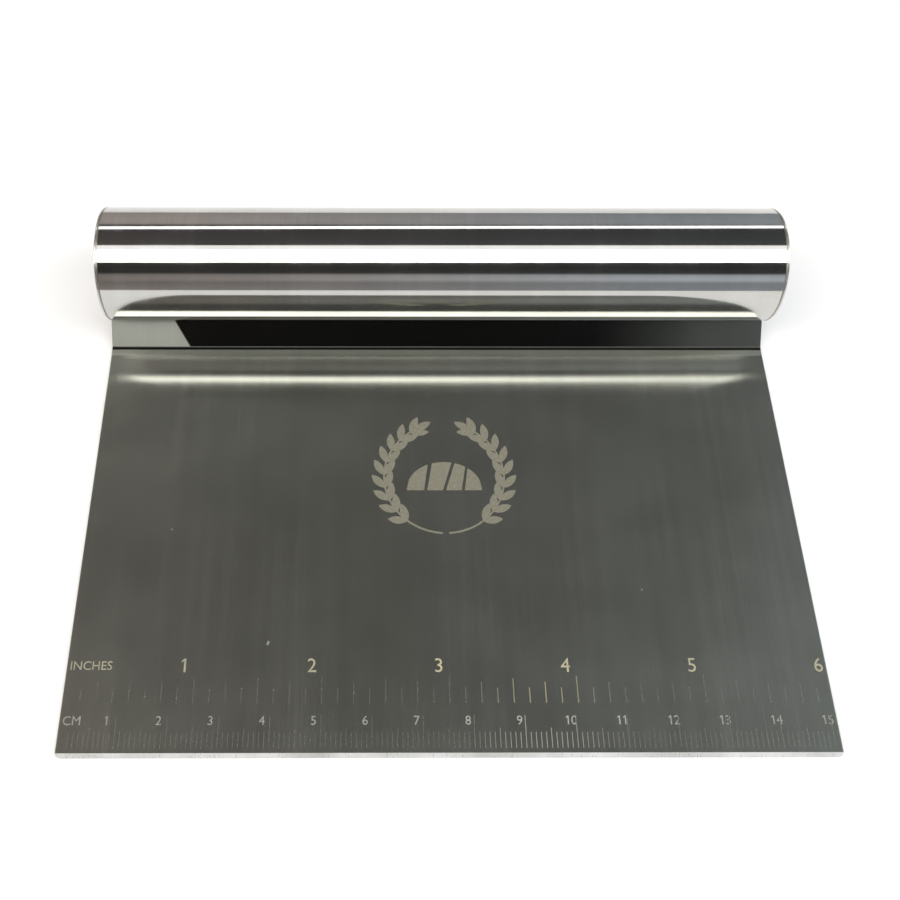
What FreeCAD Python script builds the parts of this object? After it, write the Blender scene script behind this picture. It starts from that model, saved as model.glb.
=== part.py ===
import FreeCAD, Part
import math
import os

# Bench scraper: a flat stainless blade whose rear margin is bent up to a polished tube
# handle and welded to it from behind, and two pressed caps that close the tube.  It
# lies on the back of its blade.
#
# Frame: millimetres, +X across the blade, +Y from the cutting edge to the handle,
# +Z up from the back of the blade.  The origin is the middle of the footprint.

# ---- driving sizes: blade -------------------------------------------------------
BLADE_WIDTH = 152.4        # 6 inches, the full length of the ruler on the blade
BLADE_THICKNESS = 1.0
BEND_ANGLE = 36.0          # degrees, how steeply the rear margin rises
BEND_RADIUS = 1.0          # inside of the bend
EDGE_LAND = 0.35           # thickness left at the cutting edge by the ground bevel
BEVEL_WIDTH = 0.8
CORNER_RADIUS = 0.8        # the sheet's four corners are broken by this much

# ---- driving sizes: handle ------------------------------------------------------
AXIS_REACH = 105.9         # cutting edge to the handle's axis
TUBE_DIAMETER = 25.4
TUBE_WALL = 0.8
HANDLE_INSET = 0.95        # each cap's rim stands this far inside the blade's side
HANDLE_LIFT = 1.85         # blade front face to the lowest line of the tube
SEAT_ANGLE = 36.0          # degrees from that line forward to where the blade meets the tube

# ---- driving sizes: caps and welds ----------------------------------------------
CAP_THICKNESS = 0.6
CAP_DOME = 0.5             # how far the cap's middle stands out from its rim
CAP_EDGE_RADIUS = 0.25
CAP_SPIGOT_DEPTH = 4.0
SEAM_GROOVE = 0.2          # leg of the chamfers that hold the ring weld
SEAM_DEPTH = 0.03          # the ring weld is dressed this far below the tube
BEAD_LEG = 1.2             # leg of the fillet that joins the blade's back to the tube
BEAD_BULGE = 0.15          # how far the fillet's face swells beyond a flat one
BEAD_INSET = 1.5           # the fillet stops this short of the tube's two ends

# ---- clearances -----------------------------------------------------------------
SEAT_GAP = 0.05            # end of the blade to the tube
SPIGOT_GAP = 0.05          # cap spigot to the bore of the tube

# ---- sizes that follow ----------------------------------------------------------
TUBE_RADIUS = TUBE_DIAMETER / 2
BORE_RADIUS = TUBE_RADIUS - TUBE_WALL
OVERALL_DEPTH = AXIS_REACH + TUBE_RADIUS
AXIS_Y = AXIS_REACH - OVERALL_DEPTH / 2
AXIS_Z = BLADE_THICKNESS + HANDLE_LIFT + TUBE_RADIUS
EDGE_Y = -OVERALL_DEPTH / 2
HANDLE_LENGTH = BLADE_WIDTH - 2 * HANDLE_INSET
TUBE_HALF = HANDLE_LENGTH / 2 - CAP_THICKNESS
SEAT_RADIUS = TUBE_RADIUS + SEAT_GAP
RISE = math.radians(BEND_ANGLE)

AXIS_X = FreeCAD.Vector(1, 0, 0)


def yz(y, z, x=0.0):
    """A point given by its place in the side profile."""
    return FreeCAD.Vector(x, y, z)


def around_axis(radius, angle, x=0.0):
    """A point at a radius from the handle's axis, angle from straight down to the back."""
    return yz(AXIS_Y + radius * math.sin(angle), AXIS_Z - radius * math.cos(angle), x)


def arc_about(center_y, center_z, radius, start, stop):
    """Circular edge in the side profile; angles from straight down towards the back."""
    points = []
    for angle in (start, (start + stop) / 2, stop):
        y = center_y + radius * math.sin(angle)
        z = center_z - radius * math.cos(angle)
        points.append(yz(y, z))
    return Part.Arc(*points).toShape()


def line(start, stop):
    """Straight edge between two points."""
    return Part.LineSegment(start, stop).toShape()


def ring(profile, x_sign=1):
    """Turn a list of (x, radius) points into a ring round the handle's axis."""
    points = [yz(AXIS_Y, AXIS_Z + radius, x_sign * x) for x, radius in profile]
    points.append(points[0])
    face = Part.Face(Part.makePolygon(points))
    return face.revolve(yz(AXIS_Y, AXIS_Z), AXIS_X, 360)


# ---- blade ----------------------------------------------------------------------

def end_angle(depth):
    """Where a line in the sheet meets the seat, as an angle about the handle's axis.

    The line lies this deep under the front face.  The front face meets the seat at
    SEAT_ANGLE; a line parallel to it passes the axis that much further away.
    """
    front = math.radians(-SEAT_ANGLE)
    offset = SEAT_RADIUS * math.cos(RISE - front) + depth
    return RISE - math.acos(offset / SEAT_RADIUS)


def bend_foot():
    """Y at which the flat and the rising part of the front face would meet."""
    end = around_axis(SEAT_RADIUS, end_angle(0))
    return end.y - (end.z - BLADE_THICKNESS) / math.tan(RISE)


def blade_profile():
    """Closed side profile: ground edge, flat, bend, rise and the end coped to the tube."""
    bend_y = bend_foot() - BEND_RADIUS * math.tan(RISE / 2)
    bend_z = BLADE_THICKNESS + BEND_RADIUS
    outer_radius = BEND_RADIUS + BLADE_THICKNESS
    front_end = end_angle(0)
    back_end = end_angle(BLADE_THICKNESS)
    edge_back = yz(EDGE_Y, 0)
    edge_front = yz(EDGE_Y, EDGE_LAND)
    bevel_top = yz(EDGE_Y + BEVEL_WIDTH, BLADE_THICKNESS)
    rise_front = yz(bend_y + BEND_RADIUS * math.sin(RISE), bend_z - BEND_RADIUS * math.cos(RISE))
    rise_back = yz(bend_y + outer_radius * math.sin(RISE), bend_z - outer_radius * math.cos(RISE))
    edges = [
        line(edge_back, edge_front),
        line(edge_front, bevel_top),
        line(bevel_top, yz(bend_y, BLADE_THICKNESS)),
        arc_about(bend_y, bend_z, BEND_RADIUS, 0, RISE),
        line(rise_front, around_axis(SEAT_RADIUS, front_end)),
        arc_about(AXIS_Y, AXIS_Z, SEAT_RADIUS, front_end, back_end),
        line(around_axis(SEAT_RADIUS, back_end), rise_back),
        arc_about(bend_y, bend_z, outer_radius, RISE, 0),
        line(yz(bend_y, 0), edge_back),
    ]
    return Part.Face(Part.Wire(edges))


def rounded_block(low, high, along, keep, radius):
    """Box between two corners, its edges along one axis rounded where keep says so.

    along is "y" or "z"; keep is given an edge's middle point.
    """
    size = high.sub(low)
    block = Part.makeBox(size.x, size.y, size.z, low)
    chosen = []
    for edge in block.Edges:
        start, stop = (vertex.Point for vertex in edge.Vertexes)
        run = abs(getattr(start, along) - getattr(stop, along))
        middle = (start + stop) / 2
        if run > 0 and keep(middle):
            chosen.append(edge)
    return block.makeFillet(radius, chosen)


def make_blade():
    """The blade: its profile carried across the width, with its four corners rounded."""
    half = BLADE_WIDTH / 2
    face = blade_profile()
    face.translate(FreeCAD.Vector(-half, 0, 0))
    blade = face.extrude(FreeCAD.Vector(BLADE_WIDTH, 0, 0))

    crest = around_axis(SEAT_RADIUS, end_angle(0)).z
    low = FreeCAD.Vector(-half, EDGE_Y, -BLADE_THICKNESS)
    high = FreeCAD.Vector(half, OVERALL_DEPTH, crest)
    middle_y = (low.y + high.y) / 2
    middle_z = (low.z + high.z) / 2
    front_corners = rounded_block(low, high, "z", lambda p: p.y < middle_y, CORNER_RADIUS)
    rear_corners = rounded_block(low, high, "y", lambda p: p.z > middle_z, CORNER_RADIUS)
    return blade.common(front_corners).common(rear_corners)


# ---- handle ---------------------------------------------------------------------

def make_tube():
    """The tube, with both ends chamfered for the ring welds."""
    shoulder = TUBE_HALF - SEAM_GROOVE
    return ring([
        (-TUBE_HALF, BORE_RADIUS),
        (-TUBE_HALF, TUBE_RADIUS - SEAM_GROOVE),
        (-shoulder, TUBE_RADIUS),
        (shoulder, TUBE_RADIUS),
        (TUBE_HALF, TUBE_RADIUS - SEAM_GROOVE),
        (TUBE_HALF, BORE_RADIUS),
    ])


def make_cap(x_sign):
    """A pressed cap: domed end, rim against the tube, spigot inside the bore.

    The inside of the dome is the outside moved in by the sheet's thickness.
    """
    rim = TUBE_HALF + CAP_THICKNESS
    inner = TUBE_HALF
    spigot = BORE_RADIUS - SPIGOT_GAP
    spigot_bore = spigot - CAP_THICKNESS
    flat_radius = TUBE_RADIUS - CAP_EDGE_RADIUS
    diagonal = CAP_EDGE_RADIUS * math.sqrt(0.5)

    def at(x, radius):
        return yz(AXIS_Y, AXIS_Z + radius, x_sign * x)

    def dome(face_x, reach):
        """Shallow arc from the middle of the cap out to a radius."""
        ball = (flat_radius ** 2 + CAP_DOME ** 2) / (2 * CAP_DOME)
        heights = []
        for radius in (0.0, reach / 2, reach):
            drop = ball - math.sqrt(ball ** 2 - radius ** 2)
            heights.append(at(face_x + CAP_DOME - drop, radius))
        return heights

    top = dome(rim, flat_radius)
    under = dome(inner, spigot_bore)
    corner = at(rim - CAP_EDGE_RADIUS + diagonal, flat_radius + diagonal)
    side = at(rim - CAP_EDGE_RADIUS, TUBE_RADIUS)
    groove_top = at(inner + SEAM_GROOVE, TUBE_RADIUS)
    groove_foot = at(inner, TUBE_RADIUS - SEAM_GROOVE)
    spigot_root = at(inner, spigot)
    spigot_end = at(inner - CAP_SPIGOT_DEPTH, spigot)
    spigot_lip = at(inner - CAP_SPIGOT_DEPTH, spigot_bore)
    edges = [
        Part.Arc(top[0], top[1], top[2]).toShape(),
        Part.Arc(top[2], corner, side).toShape(),
    ]
    edges += [
        line(side, groove_top),
        line(groove_top, groove_foot),
        line(groove_foot, spigot_root),
        line(spigot_root, spigot_end),
        line(spigot_end, spigot_lip),
        line(spigot_lip, under[2]),
        Part.Arc(under[2], under[1], under[0]).toShape(),
        line(under[0], top[0]),
    ]
    face = Part.Face(Part.Wire(edges))
    return face.revolve(yz(AXIS_Y, AXIS_Z), AXIS_X, 360)


def make_cap_weld(x_sign):
    """Ring of weld metal in the V between tube and cap, dressed just below flush."""
    top = TUBE_RADIUS - SEAM_DEPTH
    spread = SEAM_GROOVE - SEAM_DEPTH
    return ring([
        (TUBE_HALF, TUBE_RADIUS - SEAM_GROOVE),
        (TUBE_HALF + spread, top),
        (TUBE_HALF - spread, top),
    ], x_sign)


def make_handle_weld():
    """Fillet bead behind the blade, in the corner between its back face and the tube."""
    half = TUBE_HALF - SEAM_GROOVE - BEAD_INSET
    root_angle = end_angle(BLADE_THICKNESS)
    toe_angle = root_angle + BEAD_LEG / TUBE_RADIUS
    on_tube = around_axis(TUBE_RADIUS, root_angle)
    on_blade = around_axis(SEAT_RADIUS, root_angle)
    toe = around_axis(TUBE_RADIUS, toe_angle)
    down_blade = FreeCAD.Vector(0, -math.cos(RISE), -math.sin(RISE))
    foot = on_blade + down_blade * BEAD_LEG
    chord = toe - foot
    out = FreeCAD.Vector(0, chord.z, -chord.y).normalize()
    belly = (toe + foot) / 2 + out * BEAD_BULGE
    edges = [
        arc_about(AXIS_Y, AXIS_Z, TUBE_RADIUS, root_angle, toe_angle),
        Part.Arc(toe, belly, foot).toShape(),
        line(foot, on_blade),
        line(on_blade, on_tube),
    ]
    face = Part.Face(Part.Wire(edges))
    face.translate(FreeCAD.Vector(-half, 0, 0))
    return face.extrude(FreeCAD.Vector(2 * half, 0, 0))


# ---- export ---------------------------------------------------------------------

def build():
    """Every piece of the scraper by name."""
    return {
        "blade": make_blade(),
        "handle_tube": make_tube(),
        "end_cap_left": make_cap(-1),
        "end_cap_right": make_cap(1),
        "cap_weld_left": make_cap_weld(-1),
        "cap_weld_right": make_cap_weld(1),
        "handle_weld": make_handle_weld(),
    }


os.makedirs("parts", exist_ok=True)
for name, shape in build().items():
    solid = shape.Solids[0]
    if len(shape.Solids) != 1 or not solid.isValid():
        raise RuntimeError(name + " is not one valid solid")
    solid.exportStep(os.path.join("parts", name + ".step"))
    box = solid.BoundBox
    sizes = "%.2f x %.2f x %.2f mm" % (box.XLength, box.YLength, box.ZLength)
    print(name, sizes, "volume %.1f mm3" % solid.Volume)
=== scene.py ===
import logging
import math
from dataclasses import dataclass
from enum import Enum

import bpy
import numpy as np
from mathutils import Euler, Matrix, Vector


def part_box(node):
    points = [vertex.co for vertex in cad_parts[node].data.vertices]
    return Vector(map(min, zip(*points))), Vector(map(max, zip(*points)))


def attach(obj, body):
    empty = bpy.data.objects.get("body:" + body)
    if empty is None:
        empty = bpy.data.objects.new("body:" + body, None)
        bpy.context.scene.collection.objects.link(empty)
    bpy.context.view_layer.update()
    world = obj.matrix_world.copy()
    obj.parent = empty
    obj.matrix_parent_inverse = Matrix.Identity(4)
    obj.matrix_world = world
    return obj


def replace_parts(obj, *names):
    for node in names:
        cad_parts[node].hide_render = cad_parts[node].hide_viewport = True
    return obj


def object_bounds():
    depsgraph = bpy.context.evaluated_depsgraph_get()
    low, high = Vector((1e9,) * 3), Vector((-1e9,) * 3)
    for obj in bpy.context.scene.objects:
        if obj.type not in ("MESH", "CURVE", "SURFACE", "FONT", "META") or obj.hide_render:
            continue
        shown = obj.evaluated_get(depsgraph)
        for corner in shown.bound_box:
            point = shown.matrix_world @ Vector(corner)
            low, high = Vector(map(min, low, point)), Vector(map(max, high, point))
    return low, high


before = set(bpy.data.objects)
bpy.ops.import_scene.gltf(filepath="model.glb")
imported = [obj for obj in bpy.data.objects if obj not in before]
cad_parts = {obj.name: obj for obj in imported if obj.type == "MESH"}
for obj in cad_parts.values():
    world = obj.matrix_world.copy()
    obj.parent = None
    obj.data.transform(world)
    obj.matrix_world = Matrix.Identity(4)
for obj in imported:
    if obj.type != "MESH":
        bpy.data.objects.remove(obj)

MM = 0.001
TURN = 2 * math.pi
NOISE_LOW, NOISE_HIGH = 0.32, 0.68  # the part of 0 to 1 that Blender's noise really fills
Tree = bpy.types.NodeTree
Socket = bpy.types.NodeSocket
Material = bpy.types.Material
Faces = list[tuple[int, ...]]
Surface = tuple[np.ndarray, Faces]
log = logging.getLogger("bench_scraper")


# ---- colours and nodes ------------------------------------------------------------

def linear(hex_colour: str) -> tuple[float, float, float, float]:
    """Turns an sRGB colour into the linear one that shaders use.

    Each channel below 0.04045 is divided by 12.92; any other is raised to 2.4 after
    the usual offset.

    Args:
        hex_colour: Six hexadecimal digits, such as "A9A998".

    Returns:
        Red, green, blue and an alpha of 1.
    """
    values = np.array([int(hex_colour[i:i + 2], 16) for i in (0, 2, 4)]) / 255
    low = values / 12.92
    high = ((values + 0.055) / 1.055) ** 2.4
    red, green, blue = np.where(values <= 0.04045, low, high)
    return float(red), float(green), float(blue), 1.0


def add(tree: Tree, kind: str, inputs: dict, **settings) -> bpy.types.Node:
    """Adds a node with its settings, its values and its links.

    Args:
        tree: The node tree that gets the node.
        kind: The node's type, without the leading "ShaderNode".
        inputs: Socket name or number to a value, or to the socket that feeds it.
        settings: The node's own properties.

    Returns:
        The new node.
    """
    node = tree.nodes.new("ShaderNode" + kind)
    for name, value in settings.items():
        setattr(node, name, value)
    for name, value in inputs.items():
        if isinstance(value, Socket):
            tree.links.new(value, node.inputs[name])
        else:
            node.inputs[name].default_value = value
    return node


def pattern(tree: Tree, pitch_mm: tuple[float, float, float],
            detail: float = 2.0) -> Socket:
    """Noise with cells of a real size, stretched out to the full range from 0 to 1.

    Object coordinates are divided by the pitch, so one cell is as long as the pitch
    along each axis.

    Args:
        tree: The material's node tree.
        pitch_mm: Size of one cell along X, Y and Z, in millimetres.
        detail: How many finer octaves are laid over the cells.

    Returns:
        The value.
    """
    place = add(tree, "TexCoord", {})
    scale = tuple(1 / (pitch * MM) for pitch in pitch_mm)
    cells = add(tree, "Mapping", {"Vector": place.outputs["Object"], "Scale": scale})
    noise = add(tree, "TexNoise", {"Vector": cells.outputs[0], "Scale": 1.0, "Detail": detail})
    return add(tree, "MapRange", {0: noise.outputs["Fac"], 1: NOISE_LOW, 2: NOISE_HIGH}).outputs[0]


def new_material(name: str) -> tuple[Material, Tree]:
    """Makes a node material with nothing in it.

    Args:
        name: The material's name.

    Returns:
        The material and its node tree.
    """
    material = bpy.data.materials.new(name)
    material.use_nodes = True
    material.node_tree.nodes.clear()
    return material, material.node_tree


def two_tone(tree: Tree, lines: Socket, bands: Socket | float,
             smudges: Socket, dark: str,
             light: str) -> tuple[Socket, Socket]:
    """Lays patterns over each other and colours the steel by them.

    The tone is half of lines times bands plus smudges, so it runs from 0 to 1.

    Args:
        tree: The material's node tree.
        lines: The fine pattern.
        bands: How strong the lines are from place to place.
        smudges: The broad, soft pattern.
        dark: Colour where the tone is 0.
        light: Colour where the tone is 1.

    Returns:
        The tone and the colour.
    """
    total = add(tree, "Math", {0: lines, 1: bands, 2: smudges}, operation="MULTIPLY_ADD")
    tone = add(tree, "MapRange", {0: total.outputs[0], 1: 0.0, 2: 2.0}).outputs[0]
    colour = add(tree, "Mix", {0: tone, 6: linear(dark), 7: linear(light)}, data_type="RGBA")
    return tone, colour.outputs[2]


# ---- finishes ---------------------------------------------------------------------

# The way across the lines, along which brushed steel smears what it mirrors.  It leans
# a little off X, so that it is never square to a face that looks sideways.
ACROSS = {0: 1.0, 1: 0.01}


@dataclass(frozen=True)
class Grain:
    """Size of an abrasive's lines on each axis, in millimetres: fine and broad ones.

    Real hair lines are a few hundredths of a millimetre wide and would not show, so
    the fine ones are drawn coarser.
    """

    fine: tuple[float, float, float]
    broad: tuple[float, float, float]


class Lay(Enum):
    """Which way the abrasive's lines run."""

    EDGE_TO_HANDLE = Grain((0.3, 40.0, 40.0), (2.6, 110.0, 110.0))
    ROUND_THE_TUBE = Grain((0.22, 40.0, 40.0), (4.0, 150.0, 150.0))


@dataclass(frozen=True)
class BrushedSheet:
    """Belt-brushed stainless sheet, type 304.

    Long parallel lines from the cutting edge to the handle: what stands above or
    behind stays sharp along the lines and is smeared far to both sides.  The lines'
    flanks also scatter a little light evenly, so the flat is never quite black.  The
    belt stops at the bend, where the stretched sheet is dull.  From the crease through
    the bend the colour turns near black: painted shade, for the shade that falls in the
    crease.  The rise behind it keeps the mill's mirror, hazy at its two ends.

    The zones are in millimetres past the start of the bend, and the two hazes in
    millimetres across from the blade's middle.  Each metal value is the share of light
    that is mirrored and not scattered.
    """

    bend_y: float
    name: str = "belt_brushed_stainless"
    dark: str = "A4A69B"
    light: str = "B6B8AD"
    # Near-black colour of the painted shade in the crease at the bend.
    grime: str = "141412"
    smudge_mm: tuple[float, float, float] = (26.0, 17.0, 17.0)
    line_depth_mm: float = 0.002
    dull_zone: tuple[float, float] = (-1.9, -0.9)
    crease_zone: tuple[float, float] = (-0.3, -0.05)
    mill_zone: tuple[float, float] = (0.5, 0.65)
    brushed_roughness: tuple[float, float] = (0.185, 0.215)
    dull_roughness: float = 0.5
    mill_roughness: float = 0.1
    brushed_metal: float = 0.93
    dull_metal: float = 0.84
    hazy_metal: float = 0.92
    haze_left: tuple[float, float] = (-57.3, -57.9)
    haze_right: tuple[float, float] = (36.0, 62.0)
    haze_lean: float = 0.7
    right_share: float = 0.2

    def band(self, tree: Tree, value: Socket,
             start_mm: float, stop_mm: float) -> Socket:
        """A ramp from 0 at the start to 1 at the stop, both in millimetres."""
        return add(tree, "MapRange", {0: value, 1: start_mm * MM, 2: stop_mm * MM}).outputs[0]

    def haze(self, tree: Tree, x: Socket,
             y: Socket) -> Socket:
        """How hazy the rise is: fully up to a slanting line at the left, a little at the right.

        Args:
            tree: The material's node tree.
            x: Place across the blade.
            y: Place from the cutting edge to the handle.

        Returns:
            The haze, from 0 to 1.
        """
        start = -self.haze_lean * self.bend_y * MM
        slant = add(tree, "Math", {0: y, 1: self.haze_lean, 2: start}, operation="MULTIPLY_ADD")
        leaned = add(tree, "Math", {0: x, 1: slant.outputs[0]}, operation="ADD")
        left = self.band(tree, leaned.outputs[0], *self.haze_left)
        right = self.band(tree, x, *self.haze_right)
        weak = add(tree, "Math", {0: right, 1: self.right_share}, operation="MULTIPLY")
        return add(tree, "Math", {0: left, 1: weak.outputs[0]}, operation="MAXIMUM").outputs[0]

    def build(self) -> Material:
        """Makes the material, with one zone after another from the flat to the rise.

        Returns:
            The material.
        """
        material, tree = new_material(self.name)
        lines = pattern(tree, Lay.EDGE_TO_HANDLE.value.fine, 3.0)
        bands = pattern(tree, Lay.EDGE_TO_HANDLE.value.broad)
        smudges = pattern(tree, self.smudge_mm, 3.0)
        tone, clean = two_tone(tree, lines, bands, smudges, self.dark, self.light)
        place = add(tree, "TexCoord", {})
        parts = add(tree, "SeparateXYZ", {0: place.outputs["Object"]})
        x, y = parts.outputs[0], parts.outputs[1]
        dull, in_crease, past_bend = [
            self.band(tree, y, self.bend_y + start, self.bend_y + stop)
            for start, stop in (self.dull_zone, self.crease_zone, self.mill_zone)
        ]
        # Painted shade: from the crease through the bend the colour turns near black, for the shade that
        # falls there.
        before = add(tree, "Math", {0: 1.0, 1: past_bend}, operation="SUBTRACT")
        crease_shade_mask = add(tree, "Math", {0: in_crease, 1: before.outputs[0]}, operation="MULTIPLY")
        colour = add(tree, "Mix", {
            0: crease_shade_mask.outputs[0],
            6: clean,
            7: linear(self.grime),
        }, data_type="RGBA")
        haze = self.haze(tree, x, y)
        low, high = self.brushed_roughness
        brushed = add(tree, "MapRange", {0: tone, 3: low, 4: high})
        flat = add(tree, "Mix", {0: dull, 2: brushed.outputs[0], 3: self.dull_roughness})
        rise = add(tree, "MapRange", {0: haze, 3: self.mill_roughness, 4: self.dull_roughness})
        roughness = add(tree, "Mix", {0: past_bend, 2: flat.outputs[0], 3: rise.outputs[0]})
        flat_metal = add(tree, "MapRange", {0: dull, 3: self.brushed_metal, 4: self.dull_metal})
        rise_metal = add(tree, "MapRange", {0: haze, 3: 1.0, 4: self.hazy_metal})
        metal = add(tree, "Mix", {0: past_bend, 2: flat_metal.outputs[0], 3: rise_metal.outputs[0]})
        depth = self.line_depth_mm * MM
        bump = add(tree, "Bump", {"Height": lines, "Strength": 0.12, "Distance": depth})
        across = add(tree, "CombineXYZ", ACROSS)
        shader = add(tree, "BsdfPrincipled", {
            "Base Color": colour.outputs[2],
            "Metallic": metal.outputs[0],
            "Roughness": roughness.outputs[0],
            "Anisotropic": 1.0,
            "Tangent": across.outputs[0],
            "Normal": bump.outputs[0],
        })
        add(tree, "OutputMaterial", {0: shader.outputs[0]})
        return material


@dataclass(frozen=True)
class GroundEdge:
    """The same sheet fresh from the grinding wheel.

    Short coarse scratches across a narrow bevel, which scatter light and so look
    whiter than the brushed face.
    """

    name: str = "wheel_ground_stainless"
    dark: str = "D2D2CC"
    light: str = "F2F2EE"
    scratch_mm: tuple[float, float, float] = (0.14, 1.2, 1.2)
    run_mm: tuple[float, float, float] = (9.0, 9.0, 9.0)
    metal: float = 0.6
    roughness: tuple[float, float] = (0.26, 0.42)
    depth_mm: float = 0.01

    def build(self) -> Material:
        """Makes the material; the wheel's runs set its colour, the scratches its gloss.

        Returns:
            The material.
        """
        material, tree = new_material(self.name)
        scratches = pattern(tree, self.scratch_mm, 3.0)
        runs = pattern(tree, self.run_mm)
        colour = add(tree, "Mix", {
            0: runs,
            6: linear(self.dark),
            7: linear(self.light),
        }, data_type="RGBA")
        low, high = self.roughness
        roughness = add(tree, "MapRange", {0: scratches, 3: low, 4: high})
        depth = self.depth_mm * MM
        bump = add(tree, "Bump", {"Height": scratches, "Strength": 0.4, "Distance": depth})
        shader = add(tree, "BsdfPrincipled", {
            "Base Color": colour.outputs[2],
            "Metallic": self.metal,
            "Roughness": roughness.outputs[0],
            "Normal": bump.outputs[0],
        })
        add(tree, "OutputMaterial", {0: shader.outputs[0]})
        return material


@dataclass(frozen=True)
class PolishedTube:
    """Drawn stainless tube, polished on a wheel while it turned.

    A near mirror with hair lines round the tube, which draw every reflection out
    a little along the handle, give it faint upright streaks and scatter just enough
    light to keep its dark stripes from going black.
    """

    name: str = "polished_stainless"
    dark: str = "BFBEBA"
    light: str = "D0CFCC"
    smudge_mm: tuple[float, float, float] = (11.0, 6.0, 6.0)
    metal: float = 0.975
    roughness: tuple[float, float] = (0.07, 0.14)
    stretch: float = 0.8
    depth_mm: float = 0.001

    def build(self) -> Material:
        """Makes the material.

        Returns:
            The material.
        """
        material, tree = new_material(self.name)
        lines = pattern(tree, Lay.ROUND_THE_TUBE.value.fine, 3.0)
        bands = pattern(tree, Lay.ROUND_THE_TUBE.value.broad)
        smudges = pattern(tree, self.smudge_mm, 3.0)
        tone, colour = two_tone(tree, lines, bands, smudges, self.dark, self.light)
        low, high = self.roughness
        roughness = add(tree, "MapRange", {0: tone, 3: low, 4: high})
        depth = self.depth_mm * MM
        bump = add(tree, "Bump", {"Height": lines, "Strength": 0.12, "Distance": depth})
        across = add(tree, "CombineXYZ", ACROSS)
        shader = add(tree, "BsdfPrincipled", {
            "Base Color": colour,
            "Metallic": self.metal,
            "Roughness": roughness.outputs[0],
            "Anisotropic": self.stretch,
            "Tangent": across.outputs[0],
            "Normal": bump.outputs[0],
        })
        add(tree, "OutputMaterial", {0: shader.outputs[0]})
        return material


@dataclass(frozen=True)
class SpunCap:
    """Pressed stainless disc, polished on a lathe.

    Rings about the handle's axis, drawn coarser than real ones so that they show, and
    a little duller than the tube.
    """

    axis_y: float
    axis_z: float
    name: str = "spun_stainless"
    dark: str = "B4B3AF"
    light: str = "C9C8C5"
    ring_mm: float = 0.16
    smudge_mm: tuple[float, float, float] = (7.0, 7.0, 7.0)
    roughness: tuple[float, float] = (0.1, 0.22)
    depth_mm: float = 0.002

    def build(self) -> Material:
        """Makes the material; the rings are noise read at the distance from the axis.

        Returns:
            The material.
        """
        material, tree = new_material(self.name)
        place = add(tree, "TexCoord", {})
        flat = add(tree, "Mapping", {
            "Vector": place.outputs["Object"],
            "Location": (0.0, -self.axis_y * MM, -self.axis_z * MM),
            "Scale": (0.0, 1.0, 1.0),
        })
        reach = add(tree, "VectorMath", {0: flat.outputs[0]}, operation="LENGTH")
        rings = add(tree, "TexNoise", {
            "W": reach.outputs["Value"],
            "Scale": 1 / (self.ring_mm * MM),
            "Detail": 3.0,
        }, noise_dimensions="1D")
        lines = add(tree, "MapRange", {0: rings.outputs["Fac"], 1: NOISE_LOW, 2: NOISE_HIGH}).outputs[0]
        smudges = pattern(tree, self.smudge_mm, 3.0)
        tone, colour = two_tone(tree, lines, 1.0, smudges, self.dark, self.light)
        low, high = self.roughness
        roughness = add(tree, "MapRange", {0: tone, 3: low, 4: high})
        depth = self.depth_mm * MM
        bump = add(tree, "Bump", {"Height": lines, "Strength": 0.25, "Distance": depth})
        shader = add(tree, "BsdfPrincipled", {
            "Base Color": colour,
            "Metallic": 1.0,
            "Roughness": roughness.outputs[0],
            "Normal": bump.outputs[0],
        })
        add(tree, "OutputMaterial", {0: shader.outputs[0]})
        return material


@dataclass(frozen=True)
class WeldMetal:
    """Stainless weld metal, dressed and left satin.

    An even grain in every direction, so it scatters light and never mirrors.  The
    grain is drawn coarser than a real one, so that it shows.
    """

    name: str = "weld_metal"
    dark: str = "7C776C"
    light: str = "A8A294"
    grain_mm: tuple[float, float, float] = (0.3, 0.3, 0.3)
    patch_mm: tuple[float, float, float] = (5.0, 5.0, 5.0)
    roughness: tuple[float, float] = (0.28, 0.42)
    depth_mm: float = 0.01

    def build(self) -> Material:
        """Makes the material.

        Returns:
            The material.
        """
        material, tree = new_material(self.name)
        grit = pattern(tree, self.grain_mm, 3.0)
        patches = pattern(tree, self.patch_mm)
        _, colour = two_tone(tree, grit, 1.0, patches, self.dark, self.light)
        low, high = self.roughness
        roughness = add(tree, "MapRange", {0: grit, 3: low, 4: high})
        depth = self.depth_mm * MM
        bump = add(tree, "Bump", {"Height": grit, "Strength": 0.5, "Distance": depth})
        shader = add(tree, "BsdfPrincipled", {
            "Base Color": colour,
            "Metallic": 1.0,
            "Roughness": roughness.outputs[0],
            "Normal": bump.outputs[0],
        })
        add(tree, "OutputMaterial", {0: shader.outputs[0]})
        return material


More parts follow.
